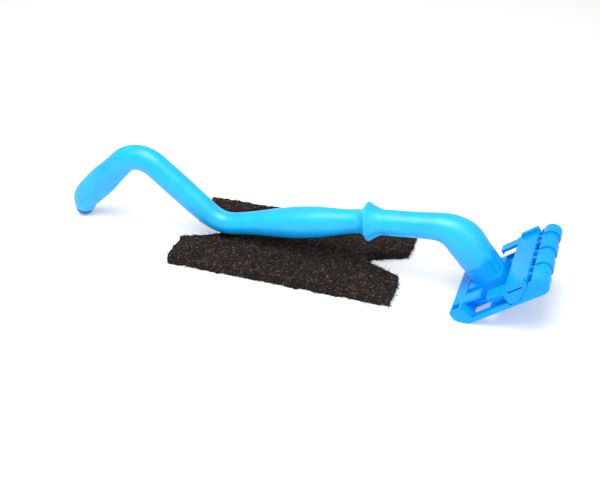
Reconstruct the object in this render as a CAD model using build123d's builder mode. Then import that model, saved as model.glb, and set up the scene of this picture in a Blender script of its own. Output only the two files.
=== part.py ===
"""Swan-neck pad applicator with a hinged clamp frame and a loose notched scouring pad.

Frame: +X runs along the tool from the hook to the head, +Z is up, and Y = 0 is the plane of symmetry
of the handle and head. The origin is on the floor, under the middle of the pad. The tool rests on the
rounded nose of its head and on the plug in its hook end. All sizes are in millimetres.
"""

from build123d import *
import math
import os

# ---- Pad ---------------------------------------------------------------------------------------
pad_length = 229.0
pad_width = 123.0
pad_thickness = 10.0
pad_notch_depth = 52.0
pad_notch_mouth = 46.0
pad_notch_root_radius = 10.0
pad_corner_radius = 3.0
pad_side_shift = 9.6         # the pad lies a little to the far side of the handle
pad_turn = 2.1                # degrees that it is turned from the handle's line

# ---- Head: s runs along the sole from the nose, n stands off the sole ---------------------------
nose_to_pad_middle = 190.7    # floor distance from the pad's middle to the line where s and n are zero
head_tilt = 39.0              # degrees between the sole and the floor
head_width = 94.0
sole_thickness = 2.4
nose_radius = 14.5
nose_height = 18.0
nose_top_depth = 13.0         # flat top of the nose, along s
nose_back_run = 4.0           # how far the back of the nose runs out on its way down
nose_edge_round = 1.8
nose_pocket = 8.0             # square pocket sunk in each end of the nose
nose_pocket_depth = 7.0
nose_pocket_wall = 2.0
side_lip_height = 2.6
side_lip_thickness = 2.6
window_length = 19.0
window_width = 13.0
window_start = 4.0
window_middle = 29.0          # distance of each window's middle from the head's middle
shelf_end = 23.0
shelf_width = 12.0
shelf_thickness = 2.4
shelf_middle = 32.0           # distance of each shelf's middle from the head's middle

# ---- Collar and the spigot that it holds --------------------------------------------------------
collar_s = 23.0
collar_height = 34.0          # level of the seam between the collar and the handle
collar_radius = 16.8
block_margin = 0.6             # how much wider the block under the collar is than the collar
spigot_radius = 13.0
spigot_length = 26.0
spigot_clearance = 0.1
key_width = 5.5
key_proud = 0.7
key_root = 2.0                # how deep the key is rooted in the wall
key_height = 6.0
key_angle = 32.0              # degrees from the line of the tool

# ---- Hinge --------------------------------------------------------------------------------------
hinge_s = 79.5
hinge_lift = 0.2              # between the sole and the lowest line of the knuckles
knuckle_radius = 8.6
clamp_knuckle_radius = 7.0
knuckle_count = 7
knuckle_gap = 0.5            # side gap between neighbouring knuckles
pin_radius = 2.0
pin_clearance = 0.05
pin_end_cover = 2.5           # plastic left over the blind end of the pin's bore
clamp_clearance = 0.35        # between the clamp and the fixed parts round it
cheek_thickness = 3.0
cheek_foot_s = 53.4           # where the sloping edge of the fixed cheek meets the sole
cheek_top_s = 73.0            # and where it ends at the top
cheek_top_n = 16.0

# ---- Clamp frame --------------------------------------------------------------------------------
clamp_front_s = 48.5
clamp_top = 17.2
clamp_thickness = 2.8
arm_tip_s = 30.0
arm_width = 11.0
arm_root = 2.0                # how far each arm runs into the plate
arm_side_margin = 2.0         # between the arm's outer edge and the side of the head
arm_tooth_length = 2.5
arm_tooth_depth = 2.5
ear_front_s = 46.0
ear_ridge_s = 51.0            # where the ear's raised ridge starts
ear_rise = 3.4
ear_thickness = 4.4
ear_corner_radius = 4.0
ear_slot_length = 15.0
ear_slot_height = 1.6
ear_slot_sunk = 2.8           # how far the slot's middle lies below the plate's top
ear_slot_depth = 2.0
knuckle_pocket_width = 8.4
knuckle_pocket_length = 4.2
knuckle_pocket_depth = 6.0

# ---- Handle: heights above the floor, and runs along X -------------------------------------------
neck_apex_n = 71.5            # where the collar's axis meets the line of the neck
neck_run = 85.0
guard_height = 59.2
grip_run = 156.5
elbow_height = 21.6
fall_run = 89.5
hook_height = 92.0
palm_run = 70.5               # the outer leg, which the palm rests on
palm_height = 21.5
tip_slope = 78.0              # degrees, from the palm down to the tip
neck_bend_radius = 34.0
guard_bend_radius = 260.0
elbow_bend_radius = 36.0
hook_bend_radius = 30.0
palm_bend_radius = 26.0
handle_bore_radius = 7.0
neck_wall = 6.0               # solid length between the end of the hollow and the seam

section_count = 56            # sections that the skin is lofted through

# Stations: share of the centreline's length, width across the tool and height in its plane
handle_stations = [
    (0.000, 19.2, 20.2),
    (0.022, 23.2, 26.4),
    (0.060, 25.0, 29.8),
    (0.100, 25.6, 30.4),
    (0.140, 25.4, 27.4),
    (0.180, 24.8, 26.4),
    (0.230, 24.6, 26.6),
    (0.280, 24.4, 26.8),
    (0.330, 24.0, 27.2),
    (0.380, 23.2, 26.4),
    (0.420, 22.6, 23.8),
    (0.455, 22.0, 22.6),
    (0.490, 22.2, 22.8),
    (0.525, 24.2, 25.0),
    (0.565, 28.0, 29.0),
    (0.610, 30.4, 31.6),
    (0.655, 29.0, 30.6),
    (0.695, 25.0, 26.4),
    (0.725, 22.8, 23.8),
    (0.765, 23.6, 24.2),
    (0.810, 24.4, 25.0),
    (0.860, 24.4, 25.0),
    (0.900, 26.4, 27.4),
    (0.925, 30.0, 32.4),
    (0.950, 32.6, 37.0),
    (0.975, 33.6, 36.0),
    (1.000, 33.6, 33.6),
]

# ---- Guard ring on the handle --------------------------------------------------------------------
guard_share = 0.760           # where it stands along the centreline
guard_radius = 19.6
guard_front = 10.0            # distance from the crest to each foot of the ring
guard_back = 17.0
guard_front_radius = 11.0     # radius of the ring at each foot, just inside the handle's skin
guard_back_radius = 11.6
guard_front_flank = 16.0      # radius of the hollow curve of each flank
guard_back_flank = 40.0
guard_crest_round = 1.2

# ---- End plug ------------------------------------------------------------------------------------
plug_radius = 8.9
plug_rim = 3.0
plug_dome = 5.5
plug_shank_length = 7.0
plug_land = 2.0               # full-width stretch of the shank next to the rim
plug_taper = 1.0              # how much the shank then narrows, so that it starts easily in the bore
plug_clearance = 0.05

# ---- Neck screw ----------------------------------------------------------------------------------
screw_radius = 2.0
screw_length = 20.0
screw_head_radius = 4.0
screw_head_height = 2.6
screw_head_sunk = 1.6
screw_clearance = 0.25
drive_radius = 1.5
drive_depth = 1.6

# ---- Frame of the head ---------------------------------------------------------------------------
tilt = math.radians(head_tilt)
along = (math.cos(tilt), 0, math.sin(tilt))
off_sole = (-math.sin(tilt), 0, math.cos(tilt))
deck = Plane(origin=(nose_to_pad_middle, 0, 0), x_dir=along, z_dir=off_sole)
half_width = head_width / 2
nose_start = nose_radius * math.tan(tilt / 2)      # the nose's round then just touches the floor
nose_front = nose_start - nose_radius
nose_back = nose_front + nose_top_depth
nose_foot = nose_back + nose_back_run
block_width = 2 * (collar_radius + block_margin)
block_end = collar_s + collar_radius
hinge_n = knuckle_radius + hinge_lift
knuckle_pitch = head_width / knuckle_count
relief_radius = knuckle_radius + clamp_clearance
bore_radius = pin_radius + pin_clearance
pin_bore_length = head_width - pin_end_cover


def side(w=0.0):
    """Plane of the head's side view at a distance w across it: local x is s and local y is n."""
    return Plane(origin=(nose_to_pad_middle, w, 0), x_dir=along, z_dir=(0, -1, 0))


def head_point(s, n):
    """World X and Z of a point of the head's side view."""
    x = nose_to_pad_middle + s * math.cos(tilt) - n * math.sin(tilt)
    z = s * math.sin(tilt) + n * math.cos(tilt)
    return (x, z)


def knuckle_centre(index):
    """Distance across the head of one knuckle's middle."""
    return (index - (knuckle_count - 1) / 2) * knuckle_pitch


def collar_keys():
    """Outlines of the two anti-twist keys that stand out of the collar's skin."""
    with Locations((collar_s, 0)):
        with PolarLocations(
            collar_radius + (key_proud - key_root) / 2,
            2,
            start_angle=-key_angle,
            angular_range=2 * key_angle,
            endpoint=True,
        ):
            Rectangle(key_proud + key_root, key_width)


fixed_knuckles = [knuckle_centre(i) for i in range(0, knuckle_count, 2)]
clamp_knuckles = [knuckle_centre(i) for i in range(1, knuckle_count, 2)]

# ---- Scouring pad --------------------------------------------------------------------------------
turn = math.radians(pad_turn)
pad_end = pad_length / 2
pad_edge = pad_width / 2
notch_root = pad_end - pad_notch_depth
notch_edge = pad_notch_mouth / 2
pad_plane = Plane(
    origin=(0, pad_side_shift, 0), x_dir=(math.cos(turn), math.sin(turn), 0), z_dir=(0, 0, 1)
)

with BuildPart() as pad:
    with BuildSketch(pad_plane) as pad_outline:
        with BuildLine():
            Polyline(
                (pad_end, pad_edge),
                (pad_end, notch_edge),
                (notch_root, 0),
                (pad_end, -notch_edge),
                (pad_end, -pad_edge),
                (-pad_end, -pad_edge),
                (-pad_end, -notch_edge),
                (-notch_root, 0),
                (-pad_end, notch_edge),
                (-pad_end, pad_edge),
                close=True,
            )
        make_face()
        fillet(pad_outline.vertices().group_by(lambda v: abs(v.Y))[0], radius=pad_notch_root_radius)
        fillet(pad_outline.vertices().group_by(lambda v: abs(v.Y))[-1], radius=pad_corner_radius)
    extrude(amount=pad_thickness)
pad.part.label = "pad"

# ---- Head base -----------------------------------------------------------------------------------
socket_radius = spigot_radius + spigot_clearance
socket_floor = collar_height - spigot_length
lip_start = nose_foot
lip_length = ear_front_s - clamp_clearance - lip_start
shelf_length = shelf_end - nose_back
screw_seat = screw_head_sunk + screw_head_height

with BuildPart() as head_base:
    # sole and nose, as one section across the head
    with BuildSketch(side()) as nose_section:
        with BuildLine():
            Polyline(
                (nose_start, 0),
                (hinge_s, 0),
                (hinge_s, sole_thickness),
                (nose_foot, sole_thickness),
                (nose_back, nose_height),
                (nose_front, nose_height),
                (nose_front, nose_radius),
            )
            CenterArc((nose_start, nose_radius), nose_radius, 180, 90)
        make_face()
        front_top = nose_section.vertices().sort_by(Axis.X)[:2].sort_by(Axis.Y)[-1]
        fillet(front_top, radius=nose_edge_round)
    extrude(amount=half_width, both=True)

    # block from the nose to the back of the collar, and the collar itself
    with BuildSketch(deck):
        with Locations(((nose_start + block_end) / 2, 0)):
            Rectangle(block_end - nose_start, block_width)
    extrude(amount=nose_height)
    with BuildSketch(deck.offset(sole_thickness / 2)):
        with Locations((collar_s, 0)):
            Circle(collar_radius)
    extrude(amount=collar_height - sole_thickness / 2)

    # anti-twist keys on the collar
    with BuildSketch(deck.offset(sole_thickness)):
        collar_keys()
    extrude(amount=collar_height - sole_thickness)

    # fingers that stand out from the nose over the windows
    with BuildSketch(deck.offset(nose_height - shelf_thickness)):
        with Locations(*[(nose_back + shelf_length / 2, w * shelf_middle) for w in (-1, 1)]):
            Rectangle(shelf_length, shelf_width)
    extrude(amount=shelf_thickness)

    # low lips along both sides of the sole
    lip_middle = half_width - side_lip_thickness / 2
    with BuildSketch(deck.offset(sole_thickness / 2)):
        with Locations(*[(lip_start + lip_length / 2, w * lip_middle) for w in (-1, 1)]):
            Rectangle(lip_length, side_lip_thickness)
    extrude(amount=sole_thickness / 2 + side_lip_height)

    # windows through the sole
    with BuildSketch(deck):
        with Locations(*[(window_start + window_length / 2, w * window_middle) for w in (-1, 1)]):
            Rectangle(window_length, window_width)
    extrude(amount=2 * sole_thickness, mode=Mode.SUBTRACT)

    # pockets in the two ends of the nose
    pocket_s = nose_front + nose_pocket_wall + nose_pocket / 2
    pocket_w = half_width - nose_pocket_wall - nose_pocket / 2
    with BuildSketch(deck.offset(nose_height)):
        with Locations(*[(pocket_s, w * pocket_w) for w in (-1, 1)]):
            Rectangle(nose_pocket, nose_pocket)
    extrude(amount=-nose_pocket_depth, mode=Mode.SUBTRACT)

    # clearance round the clamp's knuckles
    for w in clamp_knuckles:
        with BuildSketch(side(w)):
            with Locations((hinge_s, hinge_n)):
                Circle(relief_radius)
        extrude(amount=knuckle_pitch / 2, both=True, mode=Mode.SUBTRACT)

    # fixed knuckles, each on a web that rises from the sole
    for w in fixed_knuckles:
        with BuildSketch(side(w)):
            with Locations((hinge_s, hinge_n)):
                Circle(knuckle_radius)
            with BuildLine():
                Polyline(
                    (hinge_s, 0),
                    (hinge_s, hinge_n),
                    (hinge_s - knuckle_radius, hinge_n),
                    (hinge_s - 2 * knuckle_radius, sole_thickness),
                    (hinge_s - 2 * knuckle_radius, 0),
                    close=True,
                )
            make_face()
        extrude(amount=knuckle_pitch / 2 - knuckle_gap / 2, both=True)

    # sloping cheeks at the two ends of the hinge
    for w in (half_width, -half_width + cheek_thickness):
        with BuildSketch(side(w)):
            with BuildLine():
                Polyline(
                    (cheek_foot_s, 0),
                    (cheek_top_s, cheek_top_n),
                    (hinge_s, hinge_n),
                    (hinge_s, 0),
                    close=True,
                )
            make_face()
        extrude(amount=cheek_thickness)

    # pin bore, open at the far end only
    with BuildSketch(side(half_width)):
        with Locations((hinge_s, hinge_n)):
            Circle(bore_radius)
    extrude(amount=pin_bore_length, mode=Mode.SUBTRACT)

    # socket for the spigot, with the screw's hole and the seat for its head
    with BuildSketch(deck.offset(collar_height)):
        with Locations((collar_s, 0)):
            Circle(socket_radius)
    extrude(amount=-spigot_length, mode=Mode.SUBTRACT)
    with BuildSketch(deck):
        with Locations((collar_s, 0)):
            Circle(screw_radius + screw_clearance)
    extrude(amount=socket_floor, mode=Mode.SUBTRACT)
    with BuildSketch(deck):
        with Locations((collar_s, 0)):
            Circle(screw_head_radius + screw_clearance)
    extrude(amount=screw_seat, mode=Mode.SUBTRACT)
head_base.part.label = "head_base"

# ---- Clamp frame ---------------------------------------------------------------------------------
plate_bottom = clamp_top - clamp_thickness
plate_end = hinge_s - relief_radius
arm_middle = half_width - arm_side_margin - arm_width / 2
ear_top = clamp_top + ear_rise
ear_foot = sole_thickness + clamp_clearance
ear_inner = half_width - ear_thickness
cheek_rise = math.atan2(cheek_top_n, cheek_top_s - cheek_foot_s)
ear_back_foot = cheek_foot_s - clamp_clearance / math.sin(cheek_rise) + ear_foot / math.tan(cheek_rise)
ear_back_n = ear_foot + (plate_end - ear_back_foot) * math.tan(cheek_rise)
clamp_knuckle_half = knuckle_pitch / 2 - knuckle_gap / 2
slot_s = (ear_front_s + plate_end) / 2
slot_n = clamp_top - ear_slot_sunk

with BuildPart() as clamp_frame:
    # plate across the head, between the two fixed cheeks
    with BuildSketch(side()):
        with Locations(((clamp_front_s + plate_end) / 2, (clamp_top + plate_bottom) / 2)):
            Rectangle(plate_end - clamp_front_s, clamp_thickness)
    extrude(amount=half_width - cheek_thickness - clamp_clearance, both=True)

    # two arms, each with a tooth under its tip
    for w in (arm_middle, -arm_middle):
        with BuildSketch(side(w)):
            with BuildLine():
                Polyline(
                    (clamp_front_s + arm_root, clamp_top),
                    (arm_tip_s, clamp_top),
                    (arm_tip_s, plate_bottom - arm_tooth_depth),
                    (arm_tip_s + arm_tooth_length, plate_bottom),
                    (clamp_front_s + arm_root, plate_bottom),
                    close=True,
                )
            make_face()
        extrude(amount=arm_width / 2, both=True)

    # ears at the two ends, with a ridge along the plate and a slot in the outer face
    for w in (half_width, -ear_inner):
        with BuildSketch(side(w)) as ear_outline:
            with BuildLine():
                Polyline(
                    (ear_front_s, ear_foot),
                    (ear_front_s, clamp_top),
                    (ear_ridge_s, clamp_top),
                    (ear_ridge_s + ear_rise / 2, ear_top),
                    (plate_end, ear_top),
                    (plate_end, ear_back_n),
                    (ear_back_foot, ear_foot),
                    close=True,
                )
            make_face()
            front_foot = ear_outline.vertices().sort_by(Axis.X)[:2].sort_by(Axis.Y)[0]
            fillet(front_foot, radius=ear_corner_radius)
        extrude(amount=ear_thickness)
    for w in (half_width, -half_width + ear_slot_depth):
        with BuildSketch(side(w)):
            with Locations((slot_s, slot_n)):
                Rectangle(ear_slot_length, ear_slot_height)
        extrude(amount=ear_slot_depth, mode=Mode.SUBTRACT)

    # knuckles with the webs that join them to the plate
    for w in clamp_knuckles:
        with BuildSketch(side(w)):
            with Locations((hinge_s, hinge_n)):
                Circle(clamp_knuckle_radius)
            with BuildLine():
                Polyline(
                    (hinge_s, hinge_n + clamp_knuckle_radius),
                    (plate_end - clamp_thickness, clamp_top),
                    (plate_end - clamp_thickness, plate_bottom),
                    (hinge_s - clamp_knuckle_radius, hinge_n),
                    (hinge_s, hinge_n),
                    close=True,
                )
            make_face()
        extrude(amount=clamp_knuckle_half, both=True)
    with BuildSketch(deck.offset(ear_top)):
        with Locations(*[(plate_end + knuckle_pocket_length / 2, w) for w in clamp_knuckles]):
            Rectangle(knuckle_pocket_length, knuckle_pocket_width)
    extrude(amount=-(ear_top - clamp_top + knuckle_pocket_depth), mode=Mode.SUBTRACT)
    with BuildSketch(side(half_width)):
        with Locations((hinge_s, hinge_n)):
            Circle(bore_radius)
    extrude(amount=head_width, mode=Mode.SUBTRACT)
clamp_frame.part.label = "clamp_frame"

# ---- Hinge pin -----------------------------------------------------------------------------------
pin_length = pin_bore_length - 2 * clamp_clearance

with BuildPart() as hinge_pin:
    with BuildSketch(side(half_width - clamp_clearance)):
        with Locations((hinge_s, hinge_n)):
            Circle(pin_radius)
    extrude(amount=pin_length)
    chamfer(hinge_pin.edges().filter_by(GeomType.CIRCLE), length=0.4)
hinge_pin.part.label = "hinge_pin"

# ---- Handle --------------------------------------------------------------------------------------
slope = math.radians(tip_slope)
dome_radius = (plug_radius**2 + plug_dome**2) / (2 * plug_dome)
dome_centre = plug_rim + plug_dome - dome_radius
tip_height = dome_radius + math.sin(slope) * dome_centre      # the plug's dome then touches the floor

seam_point = head_point(collar_s, collar_height)
neck_point = head_point(collar_s, neck_apex_n)
guard_point = (neck_point[0] - neck_run, guard_height)
elbow_point = (guard_point[0] - grip_run, elbow_height)
hook_point = (elbow_point[0] - fall_run, hook_height)
palm_point = (hook_point[0] - palm_run, palm_height)
tip_point = (palm_point[0] - (palm_height - tip_height) / math.tan(slope), tip_height)
hollow_end = head_point(collar_s, collar_height + neck_wall)
bends = [palm_bend_radius, hook_bend_radius, elbow_bend_radius, guard_bend_radius, neck_bend_radius]

corners = [tip_point, palm_point, hook_point, elbow_point, guard_point, neck_point]

with BuildLine(Plane.XZ) as centreline:
    FilletPolyline(*corners, seam_point, radius=bends)
handle_line = centreline.wires()[0]
with BuildLine(Plane.XZ) as hollow:
    FilletPolyline(*corners, hollow_end, radius=bends)
hollow_line = hollow.wires()[0]


def across(share):
    """Plane square to the handle's centreline: local x is Y and local z runs towards the head."""
    return Plane(origin=handle_line @ share, x_dir=(0, 1, 0), z_dir=handle_line % share)


def station_slope(index, column):
    """How fast a width or height changes at a station, from the stations on both sides of it."""
    before = handle_stations[max(index - 1, 0)]
    after = handle_stations[min(index + 1, len(handle_stations) - 1)]
    return (after[column] - before[column]) / (after[0] - before[0])


def girth(share, column):
    """Width (column 1) or height (column 2) of the handle, on a smooth curve through the stations."""
    index = max(i for i, station in enumerate(handle_stations[:-1]) if station[0] <= share)
    low, high = handle_stations[index], handle_stations[index + 1]
    span = high[0] - low[0]
    t = (share - low[0]) / span
    rise = high[column] - low[column]
    start = span * station_slope(index, column) - rise
    end = rise - span * station_slope(index + 1, column)
    return low[column] + rise * t + t * (1 - t) * (start * (1 - t) + end * t)


guard_plane = Plane(
    origin=handle_line @ guard_share, x_dir=handle_line % guard_share, z_dir=(0, -1, 0)
)

with BuildPart() as handle:
    for index in range(section_count):
        share = index / (section_count - 1)
        with BuildSketch(across(share)):
            Ellipse(girth(share, 2) / 2, girth(share, 1) / 2, rotation=90)
    loft()

    # guard ring, turned about the centreline
    with BuildSketch(guard_plane) as guard_section:
        with BuildLine():
            Polyline(
                (guard_back, guard_back_radius),
                (guard_back, handle_bore_radius),
                (-guard_front, handle_bore_radius),
                (-guard_front, guard_front_radius),
            )
            RadiusArc((-guard_front, guard_front_radius), (0, guard_radius), -guard_front_flank)
            RadiusArc((0, guard_radius), (guard_back, guard_back_radius), -guard_back_flank)
        make_face()
        fillet(guard_section.vertices().sort_by(Axis.Y)[-1], radius=guard_crest_round)
    revolve(axis=Axis(guard_plane.origin, guard_plane.x_dir))

    # spigot and the keys that carry on from the collar's
    with BuildSketch(deck.offset(collar_height)):
        with Locations((collar_s, 0)):
            Circle(spigot_radius)
    extrude(amount=-spigot_length)
    with BuildSketch(deck.offset(collar_height)):
        collar_keys()
    extrude(amount=key_height)

    # hollow, and the screw's pilot hole
    with BuildSketch(across(0)):
        Circle(handle_bore_radius)
    sweep(path=hollow_line, mode=Mode.SUBTRACT)
    with BuildSketch(deck.offset(socket_floor)):
        with Locations((collar_s, 0)):
            Circle(screw_radius)
    extrude(amount=screw_length - socket_floor + screw_seat, mode=Mode.SUBTRACT)
handle.part.label = "handle"

# ---- End plug ------------------------------------------------------------------------------------
tip = handle_line @ 0
outward = handle_line % 0 * -1
plug_plane = Plane(origin=tip, x_dir=(0, 1, 0), z_dir=Vector(0, 1, 0).cross(outward))
shank_radius = handle_bore_radius - plug_clearance

with BuildPart() as end_plug:
    with BuildSketch(plug_plane):
        with BuildLine():
            Polyline(
                (0, plug_rim + plug_dome),
                (0, -plug_shank_length),
                (shank_radius - plug_taper, -plug_shank_length),
                (shank_radius, -plug_land),
                (shank_radius, 0),
                (plug_radius, 0),
                (plug_radius, plug_rim),
            )
            RadiusArc((plug_radius, plug_rim), (0, plug_rim + plug_dome), -dome_radius)
        make_face()
    revolve(axis=Axis(tip, outward))
end_plug.part.label = "end_plug"

# ---- Neck screw ----------------------------------------------------------------------------------
with BuildPart() as neck_screw:
    with BuildSketch(deck.offset(screw_head_sunk)):
        with Locations((collar_s, 0)):
            Circle(screw_head_radius)
    extrude(amount=screw_head_height)
    with BuildSketch(deck.offset(screw_seat)):
        with Locations((collar_s, 0)):
            Circle(screw_radius)
    extrude(amount=screw_length)
    with BuildSketch(deck.offset(screw_head_sunk)):
        with Locations((collar_s, 0)):
            RegularPolygon(drive_radius, 6)
    extrude(amount=drive_depth, mode=Mode.SUBTRACT)
neck_screw.part.label = "neck_screw"

# ---- Export --------------------------------------------------------------------------------------
os.makedirs("parts", exist_ok=True)
for piece in (pad, head_base, clamp_frame, hinge_pin, handle, end_plug, neck_screw):
    export_step(piece.part, f"parts/{piece.part.label}.step")
    print(piece.part.label, round(piece.part.volume), piece.part.is_valid)
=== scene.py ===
# %% [markdown]
# # A swan-neck pad applicator, dressed for its picture
#
# This notebook takes a tool whose sizes, joints and places are already settled in a CAD model, and
# gives it its looks. The tool is a hollow blue handle with a hook at one end, a tilted head with a
# hinged clamp frame at the other, and a loose scouring pad that lies on the floor under the grip.
# Everything is in metres in the CAD model's own frame: +X runs from the hook to the head, +Z is up
# and the floor is at zero.

# %% Load the frame
import math
import random

import bmesh
import bpy
from mathutils import Matrix, Vector, noise


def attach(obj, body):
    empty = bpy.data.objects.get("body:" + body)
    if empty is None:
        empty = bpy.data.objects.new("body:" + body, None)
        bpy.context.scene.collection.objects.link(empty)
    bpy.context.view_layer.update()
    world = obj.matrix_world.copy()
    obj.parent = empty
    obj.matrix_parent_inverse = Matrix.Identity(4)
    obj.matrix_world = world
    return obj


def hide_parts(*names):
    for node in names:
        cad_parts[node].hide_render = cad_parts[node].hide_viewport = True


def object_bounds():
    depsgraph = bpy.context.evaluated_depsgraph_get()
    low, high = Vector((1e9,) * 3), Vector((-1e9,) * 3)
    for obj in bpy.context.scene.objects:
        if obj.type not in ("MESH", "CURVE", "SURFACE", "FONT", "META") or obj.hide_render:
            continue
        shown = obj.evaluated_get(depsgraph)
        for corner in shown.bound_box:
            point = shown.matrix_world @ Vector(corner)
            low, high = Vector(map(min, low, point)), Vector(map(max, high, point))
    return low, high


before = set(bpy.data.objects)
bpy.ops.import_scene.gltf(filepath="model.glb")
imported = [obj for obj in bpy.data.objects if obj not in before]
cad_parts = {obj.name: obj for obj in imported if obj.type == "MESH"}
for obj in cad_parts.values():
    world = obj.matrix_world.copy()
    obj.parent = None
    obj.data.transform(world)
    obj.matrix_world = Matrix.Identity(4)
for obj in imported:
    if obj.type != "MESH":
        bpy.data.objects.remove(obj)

MM = 0.001
cad_bounds = [list(corner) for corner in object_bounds()]
print("CAD box", cad_bounds)

# %% [markdown]
# ## The camera
#
# A product photographer stands over such a tool with a normal lens and looks down at its near side.
# A camera could be aimed at a target, but its place, height and direction say the same thing in four
# plain values, and they are easy to change one at a time.

# %% Place the camera
CAMERA_PLACE = (0.2693, -0.6962, 0.5097)
CAMERA_AZIMUTH = math.radians(20.45)
CAMERA_ELEVATION = math.radians(33.3)
CAMERA_LENS = 53.3

camera_data = bpy.data.cameras.new("camera")
camera_data.sensor_width = 36
camera_data.lens = CAMERA_LENS
camera = bpy.data.objects.new("camera", camera_data)
camera.location = CAMERA_PLACE
camera.rotation_euler = (math.pi / 2 - CAMERA_ELEVATION, 0, CAMERA_AZIMUTH)
bpy.context.collection.objects.link(camera)
bpy.context.scene.camera = camera
print("camera", [round(value, 3) for value in camera.location], "lens", CAMERA_LENS)

# %% [markdown]
# ## Helpers for materials
#
# Colours are chosen as sRGB hex values, as on a paint chart, and one function turns them to the
# linear light that the renderer works in. A material is a tree of nodes, so one more function adds a
# node, sets its values and links its inputs. Everything else is said where a material is made.

# %% Colour and node helpers
def linear(hex_colour):
    """Linear RGBA of an sRGB hex colour such as "1aa0ff"."""
    channels = [int(hex_colour[i:i + 2], 16) / 255 for i in (0, 2, 4)]
    light = [c / 12.92 if c <= 0.04045 else ((c + 0.055) / 1.055) ** 2.4 for c in channels]
    return (*light, 1.0)


def add(tree, kind, links=None, **settings):
    """Adds a node. A setting is an input's value if the node has an input of that name."""
    node = tree.nodes.new(kind)
    for name, value in settings.items():
        socket = node.inputs.get(name.replace("_", " ").title())
        if socket is None:
            setattr(node, name, value)
        else:
            socket.default_value = value
    for socket, source in (links or {}).items():
        tree.links.new(source, node.inputs[socket])
    return node


def per_mm(size):
    """Texture scale, in repeats to the metre, for a pattern of that size in millimetres."""
    return 1 / (size * MM)


print("mid grey is", round(linear("808080")[0], 3), "in linear light")

# %% [markdown]
# ## Moulded polypropylene
#
# The handle, head and clamp are injection-moulded polypropylene in a strong cyan blue. Moulding
# gives the eye a satin gloss with a slightly soft edge to its highlights, faint long flow marks along
# the part, a very fine grain copied from the polished steel mould, and a colour that drifts a little
# where the melt cooled slower. A glossy paint shader would look too clean, so noises at several
# sizes drive colour, roughness and bump. The head and clamp are moulded apart from the handle and
# get less shine and a slightly deeper blue, which is painted shade for the lesser light that falls on
# them; the plug gets a dark blue.

# %% Blue moulded polypropylene
FLOW_LENGTH = 60.0
FLOW_WIDTH = 7.0
MOTTLE_SIZE = 26.0
GRAIN_SIZE = 0.9          # the real grain is nearer 0.05 mm, too fine to show, so it is drawn coarser
SCUFF_SIZE = 3.0


def moulded_polypropylene(name, deep, middle, pale, roughness, shine):
    """Satin moulded plastic with mottled colour, flow marks, handling scuffs and mould grain."""
    material = bpy.data.materials.new(name)
    material.use_nodes = True
    tree = material.node_tree
    shader = tree.nodes["Principled BSDF"]
    shader.inputs["IOR"].default_value = 1.49
    shader.inputs["Specular IOR Level"].default_value = shine
    place = add(tree, "ShaderNodeTexCoord").outputs["Object"]

    mottle = add(tree, "ShaderNodeTexNoise", {"Vector": place},
                 scale=per_mm(MOTTLE_SIZE), detail=3.0, roughness=0.55)
    colour = add(tree, "ShaderNodeValToRGB", {"Fac": mottle.outputs["Fac"]})
    ramp = colour.color_ramp.elements
    ramp[0].position, ramp[0].color = 0.25, linear(deep)
    ramp[1].position, ramp[1].color = 0.8, linear(pale)
    ramp.new(0.52).color = linear(middle)

    stretch = (per_mm(FLOW_LENGTH), per_mm(FLOW_WIDTH), per_mm(FLOW_WIDTH))
    along = add(tree, "ShaderNodeMapping", {"Vector": place}, scale=stretch)
    flow = add(tree, "ShaderNodeTexNoise", {"Vector": along.outputs["Vector"]}, scale=1.0, detail=4.0)
    gloss_map = add(tree, "ShaderNodeMapRange", {"Value": flow.outputs["Fac"]},
                    from_min=0.3, from_max=0.7, to_min=roughness - 0.05, to_max=roughness + 0.07)

    scuff = add(tree, "ShaderNodeTexNoise", {"Vector": place},
                scale=per_mm(SCUFF_SIZE), detail=6.0, roughness=0.7, distortion=1.4)
    scuffed = add(tree, "ShaderNodeMapRange", {"Value": scuff.outputs["Fac"]},
                  from_min=0.62, from_max=0.78, to_min=0.0, to_max=0.16)
    rough = add(tree, "ShaderNodeMath", operation="ADD")
    tree.links.new(gloss_map.outputs["Result"], rough.inputs[0])
    tree.links.new(scuffed.outputs["Result"], rough.inputs[1])

    grain = add(tree, "ShaderNodeTexNoise", {"Vector": place}, scale=per_mm(GRAIN_SIZE), detail=2.0)
    ripple = add(tree, "ShaderNodeBump", {"Height": flow.outputs["Fac"]}, strength=0.25, distance=0.15 * MM)
    skin = add(tree, "ShaderNodeBump", {"Height": grain.outputs["Fac"], "Normal": ripple.outputs["Normal"]},
               strength=0.2, distance=0.03 * MM)

    tree.links.new(colour.outputs["Color"], shader.inputs["Base Color"])
    tree.links.new(rough.outputs["Value"], shader.inputs["Roughness"])
    tree.links.new(skin.outputs["Normal"], shader.inputs["Normal"])
    return material


blue_polypropylene = moulded_polypropylene(
    "moulded_blue_polypropylene", "009cea", "02a9f3", "0cb2f9", roughness=0.36, shine=0.5)
# The head and clamp get the handle's blue painted deeper, as painted shade for the lesser light on them.
head_blue_with_painted_shade = moulded_polypropylene(
    "moulded_blue_polypropylene_painted_shade", "008ce2", "0096ec", "06a2f3", roughness=0.38, shine=0.2)
plug_polypropylene = moulded_polypropylene(
    "moulded_dark_blue_polypropylene", "0054a4", "005eb4", "0668c2", roughness=0.36, shine=0.3)
print("made", blue_polypropylene.name, "and", plug_polypropylene.name)

# %% [markdown]
# ## Drawn stainless wire
#
# The hinge pin is cut from drawn stainless wire and the neck screw is turned from it. Drawing leaves
# fine lines along the wire, which spread a highlight across it. A metal's colour is its base colour,
# and its IOR stays as it is.

# %% Stainless steel
DRAW_LINE = 0.25


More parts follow.
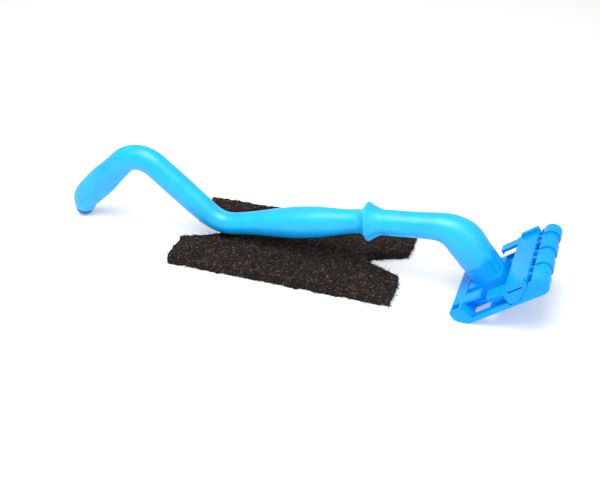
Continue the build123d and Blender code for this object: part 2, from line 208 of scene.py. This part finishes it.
def drawn_stainless():
    material = bpy.data.materials.new("drawn_stainless_steel")
    material.use_nodes = True
    tree = material.node_tree
    shader = tree.nodes["Principled BSDF"]
    shader.inputs["Metallic"].default_value = 1.0
    place = add(tree, "ShaderNodeTexCoord").outputs["Object"]
    squeeze = (per_mm(DRAW_LINE), per_mm(20), per_mm(DRAW_LINE))
    wire = add(tree, "ShaderNodeMapping", {"Vector": place}, scale=squeeze)
    lines = add(tree, "ShaderNodeTexNoise", {"Vector": wire.outputs["Vector"]}, scale=1.0, detail=3.0)
    colour = add(tree, "ShaderNodeValToRGB", {"Fac": lines.outputs["Fac"]})
    colour.color_ramp.elements[0].color = linear("a9a9a6")
    colour.color_ramp.elements[1].color = linear("d6d5d1")
    rough = add(tree, "ShaderNodeMapRange", {"Value": lines.outputs["Fac"]}, to_min=0.22, to_max=0.38)
    bump = add(tree, "ShaderNodeBump", {"Height": lines.outputs["Fac"]}, strength=0.3, distance=0.02 * MM)
    tree.links.new(colour.outputs["Color"], shader.inputs["Base Color"])
    tree.links.new(rough.outputs["Result"], shader.inputs["Roughness"])
    tree.links.new(bump.outputs["Normal"], shader.inputs["Normal"])
    return material


stainless = drawn_stainless()
print("made", stainless.name)

# %% [markdown]
# ## Handle, plug, pin and screw
#
# These four pieces have the right shape in the CAD model already: the handle's skin is one smooth
# loft, and the others are turned parts. So they stay as they are and only get their finish.

# %% Finish the carried-over pieces
finishes = {
    "handle": blue_polypropylene,
    "end_plug": plug_polypropylene,
    "hinge_pin": stainless,
    "neck_screw": stainless,
}
for node, material in finishes.items():
    for material_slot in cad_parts[node].material_slots:
        material_slot.material = material
    print(node, "wears", material.name)

# %% [markdown]
# ## Head and clamp with moulded edges
#
# A mould is milled with round cutters and its edges are broken by hand, so no edge of a moulded part
# is truly sharp, and each one catches a thin line of light. The CAD solids have sharp edges. They
# could be filleted in CAD, but a chain of fillets over ribs and knuckles often fails, so here a copy
# of each solid is merged, its flat faces are joined up, and a Bevel modifier rounds every long edge
# that turns by more than a set angle.

# %% Round the edges of the head and clamp
EDGE_ROUND = 0.4
LONG_EDGE = 3.0           # a shorter edge belongs to a curve and stays as it is
FLAT_ANGLE = math.radians(0.5)
SHARP_ANGLE = math.radians(28)


def moulded_copy(node, name, body):
    """A copy of a CAD solid with its edges rounded, riding on its body in place of the node."""
    shape = bmesh.new()
    shape.from_mesh(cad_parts[node].data)
    bmesh.ops.remove_doubles(shape, verts=shape.verts, dist=0.01 * MM)
    bmesh.ops.dissolve_limit(shape, angle_limit=FLAT_ANGLE, verts=shape.verts, edges=shape.edges)
    bmesh.ops.recalc_face_normals(shape, faces=shape.faces)
    rounded = shape.edges.layers.float.new("bevel_weight_edge")
    for edge in shape.edges:
        sharp = edge.is_manifold and edge.calc_face_angle() > SHARP_ANGLE
        edge[rounded] = float(sharp and edge.calc_length() > LONG_EDGE * MM)
    mesh = bpy.data.meshes.new(name)
    shape.to_mesh(mesh)
    shape.free()
    mesh.shade_smooth()
    mesh.set_sharp_from_angle(angle=SHARP_ANGLE)
    # The head and clamp wear the deeper blue that is painted shade.
    mesh.materials.append(head_blue_with_painted_shade)
    piece = bpy.data.objects.new(name, mesh)
    bpy.context.collection.objects.link(piece)
    bevel = piece.modifiers.new("broken_edges", "BEVEL")
    bevel.limit_method = "WEIGHT"
    bevel.width = EDGE_ROUND * MM
    bevel.segments = 2
    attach(piece, body)
    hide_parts(node)
    print(name, len(mesh.polygons), "faces before its edges are rounded")


moulded_copy("head_base", "head_moulding", "tool")
moulded_copy("clamp_frame", "clamp_moulding", "clamp")

# %% [markdown]
# ## Scouring pad: the web
#
# The pad is a non-woven web: coarse curled nylon fibres, bonded with a dark brown resin full of
# abrasive grit, and cut out of a sheet. It is firm and nearly flat, so nothing about it drapes or
# swells, and a cloth simulation would only make it look like a cushion. It is made as two things in
# one mesh: a lumpy core with pits and ragged cut edges, and several thousand loose fibres on it.
# The core is the CAD pad, rebuilt as an even mesh of small faces by a voxel Remesh, pulled in a
# little and pushed in and out by noise.

# %% Core of the pad
WEB_VOXEL = 1.5
WEB_INSET = 0.3
LUMP_SIZE = 9.0
PIT_SIZE = 3.2
LUMP_DEPTH = 1.0
PIT_DEPTH = 2.2
FLOOR_GAP = 0.25          # the lowest point of the web above the floor


def pad_core():
    """Mesh of the web's core, in place."""
    shape = bmesh.new()
    shape.from_mesh(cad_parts["pad"].data)
    bmesh.ops.remove_doubles(shape, verts=shape.verts, dist=0.01 * MM)
    bmesh.ops.recalc_face_normals(shape, faces=shape.faces)
    mesh = bpy.data.meshes.new("core")
    shape.to_mesh(mesh)
    shape.free()
    core = bpy.data.objects.new("core", mesh)
    bpy.context.collection.objects.link(core)
    remesh = core.modifiers.new("even_faces", "REMESH")
    remesh.mode = "VOXEL"
    remesh.voxel_size = WEB_VOXEL * MM
    even = bpy.data.meshes.new_from_object(core.evaluated_get(bpy.context.evaluated_depsgraph_get()))
    bpy.data.objects.remove(core)

    shape = bmesh.new()
    shape.from_mesh(even)
    shape.normal_update()
    for vert in shape.verts:
        lump = noise.noise(vert.co * per_mm(LUMP_SIZE))
        pit = abs(noise.noise(vert.co * per_mm(PIT_SIZE)))
        push = LUMP_DEPTH * lump - PIT_DEPTH * pit - WEB_INSET + PIT_DEPTH / 3
        vert.co += vert.normal * push * MM
        vert.co.z = max(vert.co.z, FLOOR_GAP * MM)
    shape.normal_update()
    return shape


core_shape = pad_core()
print("pad core", len(core_shape.faces), "faces")

# %% [markdown]
# ## Scouring pad: the fibres
#
# Real fibres of this kind are about 0.1 mm thick, too fine to show, so they are drawn at 0.36 mm.
# Each one leaves the core, arches over it in a loose curl and dips back in, and a few stand out at
# the cut edges. A curve with a square section makes each one in under twenty faces, and the random
# numbers are seeded, so that the pad is the same on every run.

# %% Fibres of the pad
FIBRE_COUNT = 5200
FIBRE_RADIUS = 0.18
FIBRE_POINTS = 5
FIBRE_SHORT = 4.0
FIBRE_LONG = 11.0
FIBRE_LIFT = 0.9
FIBRE_CURL = 0.9          # radians turned from one point to the next, at most
UNDERSIDE_SHARE = 0.35    # of the fibres that the underside would have, as it lies flat on the floor


def pad_fibres(core, rng):
    """One mesh of all the fibres that lie on the core."""
    strands = bpy.data.curves.new("fibres", "CURVE")
    strands.dimensions = "3D"
    strands.bevel_depth = FIBRE_RADIUS * MM
    strands.bevel_resolution = 0
    strands.use_fill_caps = True
    core.faces.ensure_lookup_table()
    made = 0
    while made < FIBRE_COUNT:
        face = rng.choice(core.faces)
        if face.normal.z < -0.5 and rng.random() > UNDERSIDE_SHARE:
            continue
        normal = face.normal.copy()
        heading = normal.orthogonal().normalized()
        heading.rotate(Matrix.Rotation(rng.uniform(0, 2 * math.pi), 3, normal))
        curl = Matrix.Rotation(rng.uniform(-FIBRE_CURL, FIBRE_CURL), 3, normal)
        step = rng.uniform(FIBRE_SHORT, FIBRE_LONG) * MM / (FIBRE_POINTS - 1)
        lift = rng.uniform(0.2, FIBRE_LIFT) * MM
        point = face.calc_center_median() - heading * step * (FIBRE_POINTS - 1) / 2
        strand = strands.splines.new("POLY")
        strand.points.add(FIBRE_POINTS - 1)
        for index, knot in enumerate(strand.points):
            arch = math.sin(math.pi * index / (FIBRE_POINTS - 1)) * lift - FIBRE_RADIUS * MM
            place = point + normal * arch
            place.z = max(place.z, 1.2 * FIBRE_RADIUS * MM)
            knot.co = (*place, 1)
            point += heading * step
            heading.rotate(curl)
        made += 1
    holder = bpy.data.objects.new("fibres", strands)
    bpy.context.collection.objects.link(holder)
    mesh = bpy.data.meshes.new_from_object(holder.evaluated_get(bpy.context.evaluated_depsgraph_get()))
    bpy.data.objects.remove(holder)
    return mesh


fibre_mesh = pad_fibres(core_shape, random.Random(11))
print("fibres", len(fibre_mesh.polygons), "faces")

# %% [markdown]
# ## Scouring pad: its finish
#
# The resin is a very dark warm brown and dull. Grit and bare fibre ends show as small paler specks,
# and the near-black in the gaps between fibres is painted shade. The colour comes from two noises:
# one of about 7 mm that darkens whole patches, and one of about a millimetre for the specks and the
# painted gap shade. A little sheen stands for the light that the finest fibres scatter.

# %% Resin-bonded nylon fibre
PATCH_SIZE = 7.0
SPECK_SIZE = 1.8          # real grit is about 0.1 mm, drawn as coarse as it needs to show


def bonded_fibre():
    material = bpy.data.materials.new("resin_bonded_nylon_fibre")
    material.use_nodes = True
    tree = material.node_tree
    shader = tree.nodes["Principled BSDF"]
    shader.inputs["IOR"].default_value = 1.53
    shader.inputs["Specular IOR Level"].default_value = 0.15
    shader.inputs["Sheen Weight"].default_value = 0.02
    shader.inputs["Sheen Roughness"].default_value = 0.6
    place = add(tree, "ShaderNodeTexCoord").outputs["Object"]
    patch = add(tree, "ShaderNodeTexNoise", {"Vector": place}, scale=per_mm(PATCH_SIZE), detail=3.0)
    speck_and_gap_noise = add(tree, "ShaderNodeTexNoise", {"Vector": place},
                scale=per_mm(SPECK_SIZE), detail=4.0, roughness=0.75)
    resin_and_gap_shade = add(tree, "ShaderNodeValToRGB", {"Fac": speck_and_gap_noise.outputs["Fac"]})
    ramp = resin_and_gap_shade.color_ramp.elements
    # The near-black first stop is painted shade for the gaps between fibres; the browns are the resin and
    # the pale stop is grit.
    ramp[0].position, ramp[0].color = 0.42, linear("090605")
    ramp[1].position, ramp[1].color = 0.7, linear("9a8775")
    ramp.new(0.52).color = linear("1c1410")
    ramp.new(0.59).color = linear("3c2f27")
    shade = add(tree, "ShaderNodeMapRange", {"Value": patch.outputs["Fac"]},
                from_min=0.3, from_max=0.7, to_min=0.6, to_max=1.15)
    colour = add(tree, "ShaderNodeVectorMath", {"Scale": shade.outputs["Result"]}, operation="SCALE")
    tree.links.new(resin_and_gap_shade.outputs["Color"], colour.inputs[0])
    rough = add(tree, "ShaderNodeMapRange", {"Value": speck_and_gap_noise.outputs["Fac"]}, to_min=0.6, to_max=0.95)
    bump = add(tree, "ShaderNodeBump", {"Height": speck_and_gap_noise.outputs["Fac"]}, strength=0.6, distance=0.3 * MM)
    tree.links.new(colour.outputs["Vector"], shader.inputs["Base Color"])
    tree.links.new(rough.outputs["Result"], shader.inputs["Roughness"])
    tree.links.new(bump.outputs["Normal"], shader.inputs["Normal"])
    return material


fibre_finish = bonded_fibre()
print("made", fibre_finish.name)

# %% [markdown]
# ## Scouring pad: put together
#
# The fibres join the core in one mesh, so that the pad is one piece that rides on its own body and
# can be lifted away from the tool.

# %% Join the pad
core_shape.from_mesh(fibre_mesh)
pad_mesh = bpy.data.meshes.new("scouring_pad")
core_shape.to_mesh(pad_mesh)
core_shape.free()
pad_mesh.shade_smooth()
pad_mesh.materials.clear()
pad_mesh.materials.append(fibre_finish)
scouring_pad = bpy.data.objects.new("scouring_pad", pad_mesh)
bpy.context.collection.objects.link(scouring_pad)
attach(scouring_pad, "loose_pad")
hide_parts("pad")
print("scouring pad", sum(len(face.vertices) - 2 for face in pad_mesh.polygons), "triangles")

# %% [markdown]
# ## Floor and light
#
# The tool lies on a white sweep under big soft lights, as in a catalogue. A large soft key light
# above and a little in front shapes the round handle, a weaker one fills from the right, and a
# bright white world stands for the walls of the tent. The sweep glows a little itself, so that shadows
# stay faint and their edges soft.

# %% Floor
FLOOR_HALF = 4.0


def white_sweep():
    mesh = bpy.data.meshes.new("floor")
    shape = bmesh.new()
    bmesh.ops.create_grid(shape, x_segments=1, y_segments=1, size=FLOOR_HALF)
    shape.to_mesh(mesh)
    shape.free()
    material = bpy.data.materials.new("white_paper")
    material.use_nodes = True
    shader = material.node_tree.nodes["Principled BSDF"]
    shader.inputs["Base Color"].default_value = linear("e0e0e0")
    shader.inputs["Roughness"].default_value = 0.9
    shader.inputs["Specular IOR Level"].default_value = 0.1
    shader.inputs["Emission Color"].default_value = linear("fffefc")
    shader.inputs["Emission Strength"].default_value = 0.22
    mesh.materials.append(material)
    floor = bpy.data.objects.new("floor", mesh)
    bpy.context.collection.objects.link(floor)
    return floor


floor = white_sweep()
print("floor", 2 * FLOOR_HALF, "m across")

# %% Lights
def soft_light(name, place, target, size, power):
    """A square area light at a place, turned to a target."""
    data = bpy.data.lights.new(name, "AREA")
    data.size = size
    data.energy = power
    light = bpy.data.objects.new(name, data)
    light.location = place
    light.rotation_euler = (Vector(target) - Vector(place)).to_track_quat("-Z", "Y").to_euler()
    bpy.context.collection.objects.link(light)


low, high = (Vector(corner) for corner in cad_bounds)
middle = (low + high) / 2
soft_light("key", middle + Vector((-0.1, -0.35, 1.1)), middle, size=0.9, power=18)
soft_light("fill", middle + Vector((0.9, -0.7, 0.6)), middle, size=0.9, power=4)
world = bpy.data.worlds.new("tent")
bpy.context.scene.world = world
world.use_nodes = True
world.node_tree.nodes["Background"].inputs["Color"].default_value = linear("ffffff")
world.node_tree.nodes["Background"].inputs["Strength"].default_value = 0.6
bpy.context.scene.view_settings.view_transform = "Standard"
print("lights round", [round(value, 3) for value in middle])
